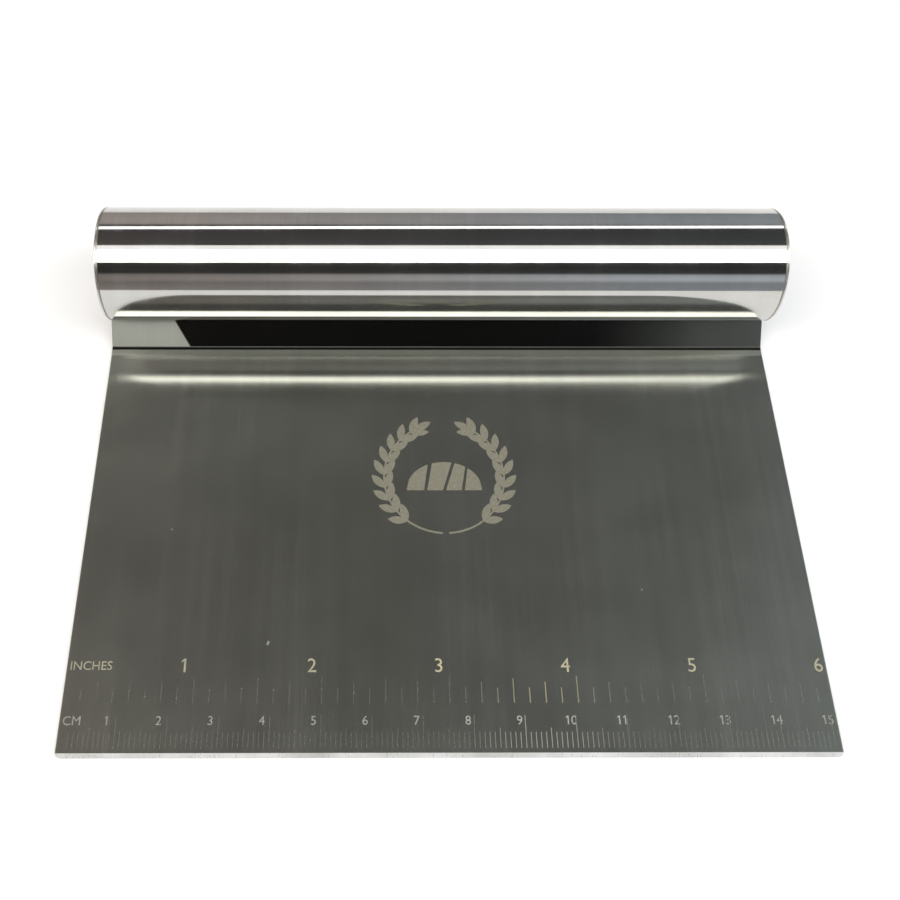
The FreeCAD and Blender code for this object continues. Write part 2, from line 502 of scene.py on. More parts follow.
@dataclass(frozen=True)
class WornEtch:
    """A laser-etched mark on stainless steel, partly worn back to bare metal.

    Full strength is a pale frosted film.  It holds in one stretch of the blade and
    is thin elsewhere, where the brushed steel shows through it with its own lay.
    Each pair of values is for bare steel and for the full film.
    """

    name: str
    film: str
    strongest_x: float
    spread: float
    faintest: float
    bare: str = "ADAEA4"
    wear_mm: tuple[float, float, float] = (0.9, 0.9, 0.9)
    wear: tuple[float, float] = (0.6, 1.1)
    roughness: tuple[float, float] = (0.225, 0.62)
    metal: tuple[float, float] = (0.955, 0.45)

    def build(self) -> Material:
        """Makes the material.

        Strength falls off as a bell curve along X: e to minus the square of the
        distance from the strongest place over the spread.

        Returns:
            The material.
        """
        material, tree = new_material(self.name)
        place = add(tree, "TexCoord", {})
        parts = add(tree, "SeparateXYZ", {0: place.outputs["Object"]})
        middle = self.strongest_x * MM
        away = add(tree, "Math", {0: parts.outputs[0], 1: middle}, operation="SUBTRACT")
        scaled = add(tree, "Math", {0: away.outputs[0], 1: self.spread * MM}, operation="DIVIDE")
        square = add(tree, "Math", {0: scaled.outputs[0], 1: 2.0}, operation="POWER")
        flipped = add(tree, "Math", {0: square.outputs[0], 1: -1.0}, operation="MULTIPLY")
        bell = add(tree, "Math", {0: flipped.outputs[0]}, operation="EXPONENT")
        base = add(tree, "MapRange", {0: bell.outputs[0], 3: self.faintest, 4: 1.0})
        worn = add(tree, "MapRange", {
            0: pattern(tree, self.wear_mm, 3.0),
            3: self.wear[0],
            4: self.wear[1],
        })
        film = add(tree, "Math", {
            0: base.outputs[0],
            1: worn.outputs[0],
        }, operation="MULTIPLY", use_clamp=True)
        strength = film.outputs[0]
        colour = add(tree, "Mix", {
            0: strength,
            6: linear(self.bare),
            7: linear(self.film),
        }, data_type="RGBA")
        roughness = add(tree, "MapRange", {0: strength, 3: self.roughness[0], 4: self.roughness[1]})
        metal = add(tree, "MapRange", {0: strength, 3: self.metal[0], 4: self.metal[1]})
        across = add(tree, "CombineXYZ", ACROSS)
        shader = add(tree, "BsdfPrincipled", {
            "Base Color": colour.outputs[2],
            "Metallic": metal.outputs[0],
            "Roughness": roughness.outputs[0],
            "Anisotropic": 1.0,
            "Tangent": across.outputs[0],
        })
        add(tree, "OutputMaterial", {0: shader.outputs[0]})
        return material


# ---- surfaces ---------------------------------------------------------------------

def outward(points: np.ndarray, faces: Faces) -> Faces:
    """Turns the faces of a closed surface outwards.

    The signed volume is a sixth of the sum, over fans of triangles, of a corner
    dotted with the cross product of the next two; a negative one means inside out.

    Args:
        points: Vertices, n by 3.
        faces: Vertex numbers of each face.

    Returns:
        The faces, reversed where the surface was inside out.
    """
    fans = [(face[0], face[i], face[i + 1]) for face in faces for i in range(1, len(face) - 1)]
    a, b, c = points[np.array(fans)].transpose(1, 0, 2)
    volume = np.einsum("ij,ij->i", a, np.cross(b, c)).sum()
    return faces if volume > 0 else [face[::-1] for face in faces]


def add_piece(name: str, surface: Surface, materials: list[Material],
              crease_deg: float = 30.0) -> bpy.types.Object:
    """Puts a closed surface into the scene as a piece that rides on the scraper.

    Args:
        name: The piece's name.
        surface: Vertices in millimetres and faces.
        materials: Its finishes; the faces take the first.
        crease_deg: Edges that turn by more than this are shaded sharp.

    Returns:
        The new object.
    """
    points, faces = surface
    mesh = bpy.data.meshes.new(name)
    mesh.from_pydata((points * MM).tolist(), [], outward(points, faces))
    mesh.polygons.foreach_set("use_smooth", np.ones(len(mesh.polygons), bool))
    mesh.set_sharp_from_angle(angle=math.radians(crease_deg))
    for material in materials:
        mesh.materials.append(material)
    mesh.update()
    piece = bpy.data.objects.new(name, mesh)
    bpy.context.scene.collection.objects.link(piece)
    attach(piece, "root")
    log.info("%s: %d vertices, %d faces", name, len(points), len(faces))
    return piece


def quads(near: np.ndarray, far: np.ndarray, around: int) -> Faces:
    """Joins rings of vertices by quads, each ring to its partner.

    Vertex i of a ring goes with vertex i + 1, and the last one with the first.

    Args:
        near: First vertex of each ring.
        far: First vertex of the ring that each one is joined to.
        around: Vertices in a ring.

    Returns:
        The faces.
    """
    here = np.arange(around)[None, :]
    ahead = (here + 1) % around
    near, far = near[:, None], far[:, None]
    grid = np.stack([near + here, near + ahead, far + ahead, far + here], -1)
    return [tuple(face) for face in grid.reshape(-1, 4).tolist()]


def loft(loops: np.ndarray) -> Surface:
    """Skins a row of closed loops and closes both ends with a flat face.

    Args:
        loops: Stations by loop points by 3.

    Returns:
        Vertices and faces.
    """
    stations, around, _ = loops.shape
    first = np.arange(stations) * around
    faces = quads(first[:-1], first[1:], around)
    last = int(first[-1])
    faces.append(tuple(range(around - 1, -1, -1)))
    faces.append(tuple(range(last, last + around)))
    return loops.reshape(-1, 3), faces


def turn(profile: np.ndarray, axis_y: float, axis_z: float, segments: int, closed: bool) -> Surface:
    """Turns a profile about the handle's axis.

    A point (x, r) at the angle a goes to (x, axis_y + r cos a, axis_z + r sin a).  A
    profile that starts and ends on the axis gets one vertex for each pole.

    Args:
        profile: Points (x, r) in millimetres.
        axis_y: Y of the axis.
        axis_z: Z of the axis.
        segments: Steps in a full turn.
        closed: True for a profile that joins up with itself, clear of the axis.

    Returns:
        Vertices and faces.
    """
    rings = profile if closed else profile[1:-1]
    angle = np.arange(segments) * TURN / segments
    x = np.repeat(rings[:, :1], segments, 1)
    y = axis_y + rings[:, 1:] * np.cos(angle)
    z = axis_z + rings[:, 1:] * np.sin(angle)
    points = np.stack([x, y, z], -1).reshape(-1, 3)
    count = len(rings)
    near = np.arange(count if closed else count - 1)
    faces = quads(near * segments, (near + 1) % count * segments, segments)
    if not closed:
        poles = np.array([[profile[0, 0], axis_y, axis_z], [profile[-1, 0], axis_y, axis_z]])
        start = len(points)
        last = (count - 1) * segments
        ahead = np.roll(np.arange(segments), -1)
        fan = np.arange(segments)
        near = np.stack([np.full(segments, start), ahead, fan], -1)
        far = np.stack([np.full(segments, start + 1), last + fan, last + ahead], -1)
        faces += [tuple(face) for face in np.concatenate([near, far]).tolist()]
        points = np.concatenate([points, poles])
    return points, faces


def arc(centre: tuple[float, float], radius: float, start_deg: float, stop_deg: float,
        steps: int) -> np.ndarray:
    """Points along an arc, by angle from the first axis towards the second.

    Args:
        centre: Its centre.
        radius: Its radius.
        start_deg: Angle of the first point.
        stop_deg: Angle of the last point.
        steps: How many equal steps lie between them.

    Returns:
        Points by 2.
    """
    angle = np.radians(np.linspace(start_deg, stop_deg, steps + 1))
    return np.stack([centre[0] + radius * np.cos(angle), centre[1] + radius * np.sin(angle)], -1)


def joined(surfaces: list[Surface]) -> Surface:
    """Gathers separate closed surfaces into one set of vertices and faces.

    Args:
        surfaces: The surfaces.

    Returns:
        All their vertices, and their faces with the vertex numbers moved up.
    """
    points, faces, start = [], [], 0
    for part_points, part_faces in surfaces:
        points.append(part_points)
        faces += [tuple(vertex + start for vertex in face) for face in part_faces]
        start += len(part_points)
    return np.concatenate(points), faces


def plate(outline: np.ndarray, low: float, high: float) -> Surface:
    """Raises a flat outline into a thin closed plate.

    Args:
        outline: Points by 2, in millimetres.
        low: Height of the underside.
        high: Height of the top.

    Returns:
        Vertices and faces, outward.
    """
    count = len(outline)
    bottom = np.column_stack([outline, np.full(count, low)])
    top = np.column_stack([outline, np.full(count, high)])
    ring = np.arange(count)
    ahead = np.roll(ring, -1)
    sides = np.stack([ring, ahead, ahead + count, ring + count], -1)
    faces = [tuple((ring + count).tolist()), tuple(ring[::-1].tolist())]
    faces += [tuple(side) for side in sides.tolist()]
    points = np.concatenate([bottom, top])
    return points, outward(points, faces)


# ---- the blade --------------------------------------------------------------------

@dataclass
class Blade:
    """The sheet: ground edge, long flat, sharp bend and a rise that ends on the tube."""

    half_width: float
    edge_y: float
    axis_y: float
    axis_z: float
    tube_radius: float
    thickness: float = 1.0
    bend_deg: float = 36.0
    bend_radius: float = 1.0
    seat_deg: float = 36.0
    seat_gap: float = 0.05
    edge_land: float = 0.35
    bevel_width: float = 0.8
    corner_radius: float = 0.8
    arris: float = 0.1
    bevel_steps: int = 7
    bevel_crowding: float = 1.3
    flat_stations: int = 36
    bend_steps: int = 18
    rise_steps: int = 13
    insets: tuple[float, ...] = (0.25, 1.0, 4.0, 16.0, 40.0)
    ground_lean: float = 0.3

    def __post_init__(self) -> None:
        """Works out where the rise ends on the tube and where the bend begins.

        A line in the sheet passes the axis at the seat's radius times the cosine of
        bend plus seat angle, and one that lies deeper passes it that much further off.
        """
        self.rise = math.radians(self.bend_deg)
        self.seat = self.tube_radius + self.seat_gap
        front = -math.radians(self.seat_deg)
        offset = self.seat * math.cos(self.rise - front)
        self.back_angle = self.rise - math.acos((offset + self.thickness) / self.seat)
        self.front_end = self.on_seat(front)
        self.back_end = self.on_seat(self.back_angle)
        foot = self.front_end[0] - (self.front_end[1] - self.thickness) / math.tan(self.rise)
        self.bend_y = foot - self.bend_radius * math.tan(self.rise / 2)

    def on_seat(self, angle: float) -> np.ndarray:
        """A point on the seat, at (seat sin a, -seat cos a) from the handle's axis.

        Args:
            angle: The angle from straight down towards the back, in radians.

        Returns:
            Its place (y, z).
        """
        y = self.axis_y + self.seat * math.sin(angle)
        z = self.axis_z - self.seat * math.cos(angle)
        return np.array([y, z])

    def path(self) -> tuple[np.ndarray, np.ndarray]:
        """Stations along the sheet, from the cutting edge to its end on the tube.

        The bevel climbs in a straight line from the edge land to the front face.  Along
        the flat and the rise, stations crowd to both ends as half of one minus cos(pi t).
        In the bend a face of radius r is at (r sin a, centre - r cos a).

        Returns:
            Points (y, z) of the front face and of the back face.
        """
        bevel_end = self.edge_y + self.bevel_width
        crowd = np.linspace(0, 1, self.bevel_steps + 1)[:-1] ** self.bevel_crowding
        bevel = self.edge_y + self.bevel_width * crowd
        slope = (self.thickness - self.edge_land) / self.bevel_width
        ease = (1 - np.cos(np.linspace(0, math.pi, self.flat_stations))) / 2
        flat = bevel_end + ease * (self.bend_y - bevel_end)
        bevel_z = self.edge_land + slope * (bevel - self.edge_y)
        front = [np.stack([bevel, bevel_z], -1), np.stack([flat, np.full_like(flat, self.thickness)], -1)]
        level = np.concatenate([bevel, flat])
        back = [np.stack([level, np.zeros_like(level)], -1)]
        angle = np.linspace(0, self.rise, self.bend_steps + 1)[1:]
        centre_z = self.thickness + self.bend_radius
        outer = self.bend_radius + self.thickness
        for rows, radius in ((front, self.bend_radius), (back, outer)):
            y = self.bend_y + radius * np.sin(angle)
            z = centre_z - radius * np.cos(angle)
            rows.append(np.stack([y, z], -1))
        share = ((1 - np.cos(np.linspace(0, math.pi, self.rise_steps + 1))) / 2)[1:, None]
        front.append(front[-1][-1] + share * (self.front_end - front[-1][-1]))
        back.append(back[-1][-1] + share * (self.back_end - back[-1][-1]))
        return np.concatenate(front), np.concatenate(back)

    def half_widths(self, front: np.ndarray) -> np.ndarray:
        """Half the sheet's width at each station, less where the corners are round.

        Closer to an end than the corner's radius r, by d, the width is short by r less
        the root of r squared minus d squared.

        Args:
            front: Points (y, z) of the front face.

        Returns:
            One value for each station.
        """
        steps = np.hypot(*np.diff(front, axis=0).T)
        from_edge = front[:, 0] - self.edge_y
        to_end = np.concatenate([np.cumsum(steps[::-1])[::-1], [0]])
        near = self.corner_radius - np.minimum(np.minimum(from_edge, to_end), self.corner_radius)
        return self.half_width - self.corner_radius + np.sqrt(self.corner_radius ** 2 - near ** 2)

    def loops(self) -> np.ndarray:
        """A rounded rectangle at each station: across the sheet by through the sheet.

        Its points are given by x and by a depth under the front face; a depth's share
        of the thickness is the share of the way from the front face to the back face.

        Returns:
            Stations by loop points by 3.
        """
        front, back = self.path()
        width = self.half_widths(front)[:, None]
        thickness = np.hypot(*(front - back).T)[:, None]
        arris = np.minimum(self.arris, thickness * 0.25)
        quarter = np.radians(np.linspace(0, 90, 6))
        right = width - arris - np.array(self.insets)
        across = np.concatenate([-right, right[:, ::-1]], 1)
        side = width - arris + arris * np.sin(quarter)
        drop = arris - arris * np.cos(quarter)
        under = thickness - drop
        level = np.zeros_like(across)
        x = [across, side, side[:, ::-1], across[:, ::-1], -side, -side[:, ::-1]]
        depth = [level, drop, under[:, ::-1], level + thickness, under, drop[:, ::-1]]
        share = (np.concatenate(depth, 1) / thickness)[..., None]
        profile = front[:, None] + (back - front)[:, None] * share
        return np.concatenate([np.concatenate(x, 1)[..., None], profile], -1)

    def build(self, sheet: Material, ground: Material) -> None:
        """Skins the loops, grinds the bevel and lets the result stand for the blade.

        A face belongs to the bevel where its middle is in front of the flat and it
        leans forward and up.

        Args:
            sheet: Finish of the sheet.
            ground: Finish of the bevel.
        """
        piece = add_piece("blade_sheet", loft(self.loops()), [sheet, ground])
        polygons = piece.data.polygons
        centre = np.zeros(len(polygons) * 3)
        normal = np.zeros(len(polygons) * 3)
        polygons.foreach_get("center", centre)
        polygons.foreach_get("normal", normal)
        in_front = centre[1::3] < (self.edge_y + self.bevel_width) * MM
        leaning = (normal[2::3] > self.ground_lean) & (normal[1::3] < -self.ground_lean)
        polygons.foreach_set("material_index", (in_front & leaning).astype(int))
        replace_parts(piece, "blade")


@dataclass
class SeatBead:
    """The fillet weld behind the blade, laid as a row of overlapping ripples."""

    blade: Blade
    half_length: float
    leg: float = 1.2
    bulge: float = 0.15
    pitch: float = 1.1
    ripple: float = 0.05
    ripple_lag: float = 1.6
    taper: float = 1.2
    sink: float = 0.05
    points_across: int = 11
    stations_per_ripple: int = 8

    def loops(self) -> np.ndarray:
        """Sections of the bead along X.

        The face runs from its toe on the tube to its foot on the blade.  It swells by
        four u (1 - u) times the bulge, u being 0 at the toe and 1 at the foot, and each
        ripple adds a cosine along X whose phase lags at both sides, like a crescent.
        Both ends shrink to the root as a quarter ellipse.

        Returns:
            Stations by loop points by 3.
        """
        blade = self.blade
        toe_angle = blade.back_angle + self.leg / blade.tube_radius
        root = blade.back_end
        sunk = (blade.tube_radius - self.sink) / blade.seat
        centre = np.array([blade.axis_y, blade.axis_z])
        toe = centre + (blade.on_seat(toe_angle) - centre) * sunk
        foot = root - self.leg * np.array([math.cos(blade.rise), math.sin(blade.rise)])
        into = np.array([-math.sin(blade.rise), math.cos(blade.rise)]) * self.sink
        chord = toe - foot
        out = np.array([chord[1], -chord[0]]) / np.hypot(*chord)
        u = np.linspace(0, 1, self.points_across)
        stations = int(self.half_length * 2 / self.pitch * self.stations_per_ripple)
        x = np.linspace(-self.half_length, self.half_length, stations)
        lag = self.ripple_lag * (2 * u - 1) ** 2
        wave = 0.5 + 0.5 * np.cos(TURN * x[:, None] / self.pitch - lag[None, :])
        swell = self.bulge * 4 * u * (1 - u) + self.ripple * wave * np.sin(math.pi * u)
        face = toe + (foot + into - toe) * u[:, None]
        section = face[None] + swell[..., None] * out
        heart = np.broadcast_to(root + into + out * -0.02, (len(x), 1, 2))
        section = np.concatenate([section, heart], 1)
        to_end = np.clip((self.half_length - np.abs(x)) / self.taper, 0, 1)
        size = np.sqrt(np.clip(1 - (1 - to_end) ** 2, 0.02, 1))
        section = heart + (section - heart) * size[:, None, None]
        across = np.broadcast_to(x[:, None, None], (*section.shape[:2], 1))
        return np.concatenate([across, section], -1)

    def build(self, weld: Material) -> None:
        """Skins the sections and lets the result stand for the weld."""
        piece = add_piece("seat_bead", loft(self.loops()), [weld], 50.0)
        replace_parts(piece, "handle_weld")


# ---- the handle -------------------------------------------------------------------

@dataclass
class Handle:
    """The tube, its two pressed caps and the ring welds between them."""

    half_length: float
    axis_y: float
    axis_z: float
    radius: float
    wall: float = 0.8
    cap_thickness: float = 0.6
    cap_dome: float = 0.5
    cap_edge_radius: float = 0.25
    spigot_depth: float = 4.0
    spigot_gap: float = 0.05
    groove: float = 0.2
    seam_depth: float = 0.03
    segments: int = 288
    insets: tuple[float, ...] = (0.0, 0.3, 2.0, 12.0)
    dome_points: int = 24
    edge_steps: int = 6

    def tube_profile(self) -> np.ndarray:
        """Closed section of the wall, with a chamfer at the outside of each end.

        Returns:
            Points (x, r).
        """
        shoulder = self.half_length - self.groove - np.array(self.insets)
        outside = np.concatenate([-shoulder, shoulder[::-1]])
        bore = self.radius - self.wall
        chamfer = self.radius - self.groove
        outer = np.column_stack([outside, np.full(len(outside), self.radius)])
        right = [[self.half_length, chamfer], [self.half_length, bore]]
        left = [[-self.half_length, bore], [-self.half_length, chamfer]]
        return np.concatenate([outer, right, left])

    def cap_profile(self) -> np.ndarray:
        """Section of the right cap, from the middle of the dome round to its underside.

        The dome is part of a ball whose radius is the flat's radius squared plus the
        dome's height squared, over twice that height.

        Returns:
            Points (x, r), the first and the last on the axis.
        """
        rim = self.half_length + self.cap_thickness
        flat = self.radius - self.cap_edge_radius
        ball = (flat ** 2 + self.cap_dome ** 2) / (2 * self.cap_dome)
        reach = np.linspace(0, flat, self.dome_points)
        top = np.column_stack([rim + self.cap_dome - ball + np.sqrt(ball ** 2 - reach ** 2), reach])
        tilt = math.degrees(math.asin(flat / ball))
        centre = (rim - self.cap_edge_radius, flat)
        edge = arc(centre, self.cap_edge_radius, tilt, 90, self.edge_steps)[1:]
        spigot = self.radius - self.wall - self.spigot_gap
        inside = spigot - self.cap_thickness
        x = self.half_length
        lip = np.array([
            [x + self.groove, self.radius],
            [x, self.radius - self.groove],
            [x, spigot],
            [x - self.spigot_depth, spigot],
            [x - self.spigot_depth, inside],
        ])
        under = np.column_stack([top[:, 0] - self.cap_thickness, reach])
        under = under[under[:, 1] < inside][::-1]
        return np.concatenate([top, edge, lip, [[under[0, 0], inside]], under])

    def ring_profile(self) -> np.ndarray:
        """Closed triangular section of the weld in the groove on the right.

        Returns:
            Points (x, r).
        """
        top = self.radius - self.seam_depth
        reach = self.groove - self.seam_depth
        foot = [self.half_length, self.radius - self.groove]
        return np.array([foot, [self.half_length + reach, top], [self.half_length - reach, top]])

    def build(self, tube: Material, cap: Material,
              weld: Material) -> None:
        """Turns every section about the axis and lets the results stand for the solids.

        Args:
            tube: Finish of the tube.
            cap: Finish of the caps.
            weld: Finish of the ring welds.
        """
        place = (self.axis_y, self.axis_z, self.segments)
        surface = turn(self.tube_profile(), *place, True)
        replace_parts(add_piece("handle_barrel", surface, [tube]), "handle_tube")
        for side, sign in (("left", -1), ("right", 1)):
            mirror = np.array([sign, 1])
            surface = turn(self.cap_profile() * mirror, *place, False)
            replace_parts(add_piece("cap_shell_" + side, surface, [cap]), "end_cap_" + side)
            surface = turn(self.ring_profile() * mirror, *place, True)
            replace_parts(add_piece("cap_seam_" + side, surface, [weld]), "cap_weld_" + side)


# ---- the ruler and the motif ------------------------------------------------------

class Unit(Enum):
    """The ruler's two scales: label, millimetres in a unit, divisions and last number."""

    INCH = ("INCHES", 25.4, 8, 6)
    CENTIMETRE = ("CM", 10.0, 10, 15)


@dataclass
class Face:
    """The front of the blade, as somewhere to lay thin etched marks."""

    left: float
    edge: float
    level: float
    proud: float = 0.012
    sink: float = 0.01
    figure_share: float = 0.7
    figure_pitch: float = 0.66
    flag_lift: float = 0.001

    def mark(self, outline: np.ndarray, lift: float = 0.0) -> Surface:
        """Lays one outline, given from the blade's middle and its cutting edge.

        Args:
            outline: Points by 2, in millimetres.
            lift: How much prouder it stands than other marks, so that two can cross.

        Returns:
            The closed plate.
        """
        return plate(outline + (0, self.edge), self.level - self.sink, self.level + self.proud + lift)

    def words(self, text: str, height: float, align: str, x: float, y: float) -> Surface:
        """Lays a word or a single figure.

        A figure stands at figure_share of the typeface's full size.

        Args:
            text: What to set.
            height: Height of a figure, in millimetres.
            align: "LEFT" or "CENTER": which part of the text is at x.
            x: Its place across, from the blade's middle.
            y: Its base line, from the cutting edge.

        Returns:
            The letters as closed surfaces.
        """
        curve = bpy.data.curves.new("figure", "FONT")
        curve.body = text
        curve.size = height / self.figure_share
        curve.extrude = (self.proud + self.sink) / 2
        curve.resolution_u = 3
        curve.align_x = align
        carrier = bpy.data.objects.new("figure", curve)
        bpy.context.scene.collection.objects.link(carrier)
        bpy.context.view_layer.update()
        shaped = carrier.evaluated_get(bpy.context.evaluated_depsgraph_get())
        mesh = bpy.data.meshes.new_from_object(shaped)
        bpy.data.objects.remove(carrier)
        bpy.data.curves.remove(curve)
        points = np.zeros(len(mesh.vertices) * 3)
        mesh.vertices.foreach_get("co", points)
        faces = [tuple(face.vertices) for face in mesh.polygons]
        bpy.data.meshes.remove(mesh)
        middle = self.level + (self.proud - self.sink) / 2
        return points.reshape(-1, 3) + (x, self.edge + y, middle), faces

    def number(self, value: int, height: float, x: float, y: float) -> Surface:
        """Lays a number with its middle at x, one figure at a time.

        A one gets a flag at its top, a short slanting bar.

        Args:
            value: The number.
            height: Height of its figures, in millimetres.
            x: Its middle, from the blade's middle.
            y: Its base line, from the cutting edge.

        Returns:
            The figures as closed surfaces.
        """
        flag = np.array([[-0.27, 0.7], [-0.22, 0.84], [-0.03, 1.0], [0.03, 0.86]]) * height
        surfaces = []
        text = str(value)
        for place, figure in enumerate(text):
            middle = x + (place - (len(text) - 1) / 2) * self.figure_pitch * height
            surfaces.append(self.words(figure, height, "CENTER", middle, y))
            if figure == "1":
                surfaces.append(self.mark(flag + (middle, y), self.flag_lift))
        return joined(surfaces)


@dataclass
class Scale:
    """One scale of the ruler, with its ticks, numbers and unit; sizes in millimetres.

    The numbers stand left of their ticks, at a pitch of their own a little over true.
    """

    unit: Unit
    zero: float
    base: float
    lengths: dict[int, float]
    tick_width: float
    figure_height: float
    figure_base: float
    first_figure: float
    figure_pitch: float
    label_x: float
    label_height: float
    label_base: float

    def build(self, face: Face, name: str, ink: Material,
              figure_ink: Material) -> None:
        """Etches the scale: ticks stand on their base line and grow with their rank.

        Args:
            face: The blade's front.
            name: Start of the pieces' names.
            ink: Finish of the ticks.
            figure_ink: Finish of the numbers and the unit.
        """
        label, size, divisions, last = self.unit.value
        half = self.tick_width / 2
        ticks = []
        room = -2 * face.left - self.zero - self.tick_width
        count = min(divisions * last, int(room / size * divisions))
        for number in range(1, count + 1):
            height = max(length for step, length in self.lengths.items() if number % step == 0)
            x = face.left + self.zero + number * size / divisions
            corners = [[x - half, 0], [x + half, 0], [x + half, height], [x - half, height]]
            ticks.append(face.mark(np.array(corners) + (0, self.base)))
        add_piece(name + "_ticks", joined(ticks), [ink])
        label_x = face.left + self.label_x
        figures = [face.words(label, self.label_height, "LEFT", label_x, self.label_base)]
        for number in range(1, last + 1):
            x = face.left + self.first_figure + (number - 1) * self.figure_pitch
            figures.append(face.number(number, self.figure_height, x, self.figure_base))
        add_piece(name + "_figures", joined(figures), [figure_ink])


@dataclass
class Motif:
    """A plain baker's motif: a loaf inside a wreath of two ears of wheat."""

    x: float
    y: float
    radius: float = 13.2
    grain_length: float = 4.3
    grain_width: float = 1.75
    pairs: int = 9
    pairs_deg: tuple[float, float] = (38.0, 146.0)
    grain_lean_deg: float = 32.0
    tip_deg: float = 151.0
    stem_deg: tuple[float, float] = (3.0, 150.0)
    stem_half: float = 0.2
    loaf_half: float = 8.2
    loaf_height: float = 6.4
    loaf_foot: float = -3.2
    crust: float = 0.4
    slices: int = 4
    slice_gap: float = 0.7
    slice_lean: float = 0.35
    step_up: float = 0.0003

    def grain(self) -> np.ndarray:
        """A pointed grain along +Y from the origin.

        At the share t of its length, its width is the full one times sin(pi t) to the
        power of 0.8.

        Returns:
            Its outline.
        """
        t = np.linspace(0, 1, 10)
        side = self.grain_width / 2 * np.sin(math.pi * t) ** 0.8
        right = np.column_stack([side, t * self.grain_length])
        left = np.column_stack([-side, t * self.grain_length])[::-1][1:-1]
        return np.concatenate([right, left])

    def placed(self, outline: np.ndarray, turn_deg: float, x: float, y: float) -> np.ndarray:
        """Turns an outline anticlockwise and moves it."""
        cos, sin = math.cos(math.radians(turn_deg)), math.sin(math.radians(turn_deg))
        return outline @ np.array([[cos, sin], [-sin, cos]]) + (x, y)

    def ear(self, sign: int) -> list[np.ndarray]:
        """One ear along half a circle, from the foot of the wreath up one side.

        At the angle a from straight down the stem is at (radius sin a, -radius cos a);
        a pair of grains leans away from it to both sides, and one grain ends it.

        Args:
            sign: -1 for the left side, 1 for the right side.

        Returns:
            Outlines about the wreath's middle.
        """
        spots = [
            (angle, lean)
            for angle in np.linspace(*self.pairs_deg, self.pairs)
            for lean in (-self.grain_lean_deg, self.grain_lean_deg)
        ]
        shapes = []
        for angle, lean in [*spots, (self.tip_deg, 0.0)]:
            x = sign * self.radius * math.sin(math.radians(angle))
            y = -self.radius * math.cos(math.radians(angle))
            shapes.append(self.placed(self.grain(), sign * (angle - 90) + lean, x, y))
        stem = np.radians(np.linspace(*self.stem_deg, 40))
        line = np.column_stack([sign * np.sin(stem), -np.cos(stem)])
        inner = (self.radius - self.stem_half) * line
        outer = (self.radius + self.stem_half) * line
        shapes.append(np.concatenate([inner, outer[::-1]]))
        return shapes

    def loaf(self) -> list[np.ndarray]:
        """A loaf seen from the side, cut into slices by slanting gaps.

        Its top is half an ellipse on a low upright crust.  A gap leans sideways by a
        third of its height, less towards the ends.  Where a leaning line meets the top
        depends on the height there, so it is worked out over and over until it settles.

        Returns:
            Outlines about the wreath's middle.
        """
        half = self.loaf_half
        shapes = []
        bounds = np.linspace(-half, half, self.slices + 1)
        for start, stop in zip(bounds[:-1], bounds[1:]):
            inner_start = start + (self.slice_gap / 2 if start > -half else 0)
            inner_stop = stop - (self.slice_gap / 2 if stop < half else 0)
            foot_x = inner_start + (inner_stop - inner_start) * np.linspace(0, 1, 9)
            lean = self.slice_lean * (1 - np.abs(foot_x) / half)
            top_x = foot_x
            for _ in range(12):
                top_x = np.clip(foot_x + lean * self.arch(top_x), -half, half)
            foot = np.column_stack([foot_x, np.zeros_like(foot_x)])
            top = np.column_stack([top_x, self.arch(top_x) + self.crust])[::-1]
            shapes.append(np.concatenate([foot, top]) + (0, self.loaf_foot))
        return shapes

    def arch(self, x: np.ndarray) -> np.ndarray:
        """Height of the half ellipse over each x."""
        return self.loaf_height * np.sqrt(np.clip(1 - (x / self.loaf_half) ** 2, 0, 1))

    def build(self, face: Face, ink: Material) -> None:
        """Etches the wreath and the loaf, each shape a step prouder than the one before.

        Args:
            face: The blade's front.
            ink: The finish.
        """
        shapes = self.ear(-1) + self.ear(1) + self.loaf()
        place = (self.x, self.y)
        surfaces = [face.mark(shape + place, self.step_up * n) for n, shape in enumerate(shapes)]
        add_piece("loaf_and_wreath", joined(surfaces), [ink])


def etch_nicks(face: Face, ink: Material) -> None:
    """Marks the few small nicks on the blade, as uneven specks under a millimetre wide.

    A nick's outline is a circle whose radius swings by two sines of the angle; it is
    then drawn out along the brushing.

    Args:
        face: The blade's front.
        ink: The finish.
    """
    spots = (
        (-36.2, 22.3, 0.75),
        (-9.0, 68.4, 0.5),
        (14.9, 62.2, 0.4),
        (-58.0, 47.0, 0.3),
        (41.0, 33.5, 0.3),
    )
    angle = np.arange(12) * TURN / 12
    surfaces = []
    for number, (x, y, width) in enumerate(spots):
        swing = 0.3 * np.sin(2 * angle + number) + 0.15 * np.sin(5 * angle + 2 * number)
        reach = width / 2 * (1 + swing)
        outline = np.column_stack([x + 0.7 * reach * np.cos(angle), y + 1.2 * reach * np.sin(angle)])
        surfaces.append(face.mark(outline))
    add_piece("nicks", joined(surfaces), [ink])


# ---- the studio -------------------------------------------------------------------

